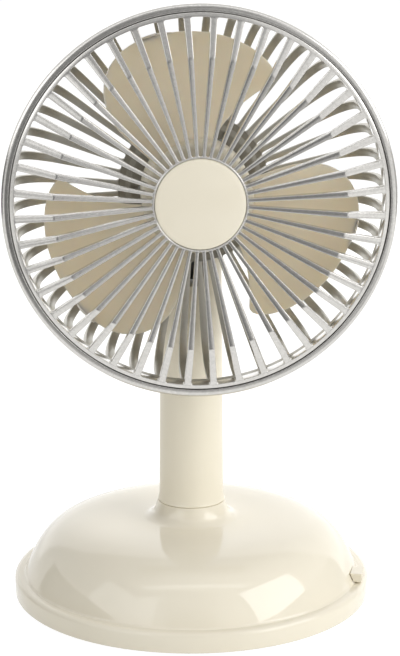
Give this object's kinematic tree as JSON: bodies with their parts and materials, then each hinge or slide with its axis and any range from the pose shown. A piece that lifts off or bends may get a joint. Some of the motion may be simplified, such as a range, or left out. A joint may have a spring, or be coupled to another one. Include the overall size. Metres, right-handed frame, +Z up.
{
  "type": "usb desk fan",
  "caption": "Small desk fan: a caged impeller with silver radial-rib grilles that tilts on a cream column above a weighted dome base with a slide switch.",
  "frame": {"origin": "centre of the base, on the plane of the undersides of its feet", "axes": "+Z up along the column, -Y the way the fan blows, +X to the right as seen from the front"},
  "size_m": [0.1508, 0.15, 0.2511],
  "materials": {
    "cream_abs": "glossy moulded ABS",
    "column_abs": "satin moulded ABS",
    "silver_painted_abs": "metallic silver paint on ABS",
    "blade_pp": "moulded polypropylene",
    "black_nylon": "moulded nylon",
    "foot_rubber": "matt rubber",
    "lead_pvc": "flexible PVC",
    "zinc_steel": "zinc-plated steel",
    "socket_steel": "drawn stainless steel",
    "bronze": "sintered bronze",
    "copper": "enamelled copper",
    "ferrite": "sintered ferrite",
    "circuit_board": "solder mask on glass-epoxy"
  },
  "bodies": {
    "base": {"base_shell": "cream_abs", "bottom_cover": "cream_abs", "rubber_feet": "foot_rubber", "cover_screws": "zinc_steel", "ballast_plate": "zinc_steel", "ballast_screws": "zinc_steel", "control_board": "circuit_board", "board_screws": "zinc_steel", "usb_socket": "socket_steel", "switch_body": "black_nylon", "column": "column_abs", "column_nut": "black_nylon", "supply_lead": "lead_pvc", "pivot_screw": "zinc_steel", "pivot_nut": "zinc_steel", "pivot_washers": "bronze", "pivot_caps": "column_abs"},
    "head": {"motor_cradle": "black_nylon", "cradle_screws": "zinc_steel", "pod_cover": "column_abs", "pod_screws": "zinc_steel", "rear_grille": "silver_painted_abs", "trim_ring": "silver_painted_abs", "front_grille": "silver_painted_abs", "hub_cap": "cream_abs", "motor_can": "zinc_steel", "motor_magnets": "ferrite", "motor_brushes": "copper", "motor_end_cap": "black_nylon", "front_bush": "bronze", "rear_bush": "bronze"},
    "rotor": {"motor_shaft": "zinc_steel", "armature_core": "zinc_steel", "armature_windings": "copper", "commutator": "copper", "impeller": "blade_pp", "impeller_nut": "zinc_steel"},
    "switch": {"switch_knob": "cream_abs"}
  },
  "joints": [
    {"name": "head_tilt", "type": "hinge", "parent": "base", "child": "head", "pos_m": [0, 0, 0.144], "axis": [-1, 0, 0], "range_deg": [-8, 20]},
    {"name": "blade_spin", "type": "hinge", "parent": "head", "child": "rotor", "pos_m": [0, -0.0368, 0.1757], "axis": [0, 1, 0], "continuous": true},
    {"name": "speed_slide", "type": "slide", "parent": "base", "child": "switch", "axis": [0.2588, 0.9659, 0], "range_m": [0, 0.0045]}
  ]
}
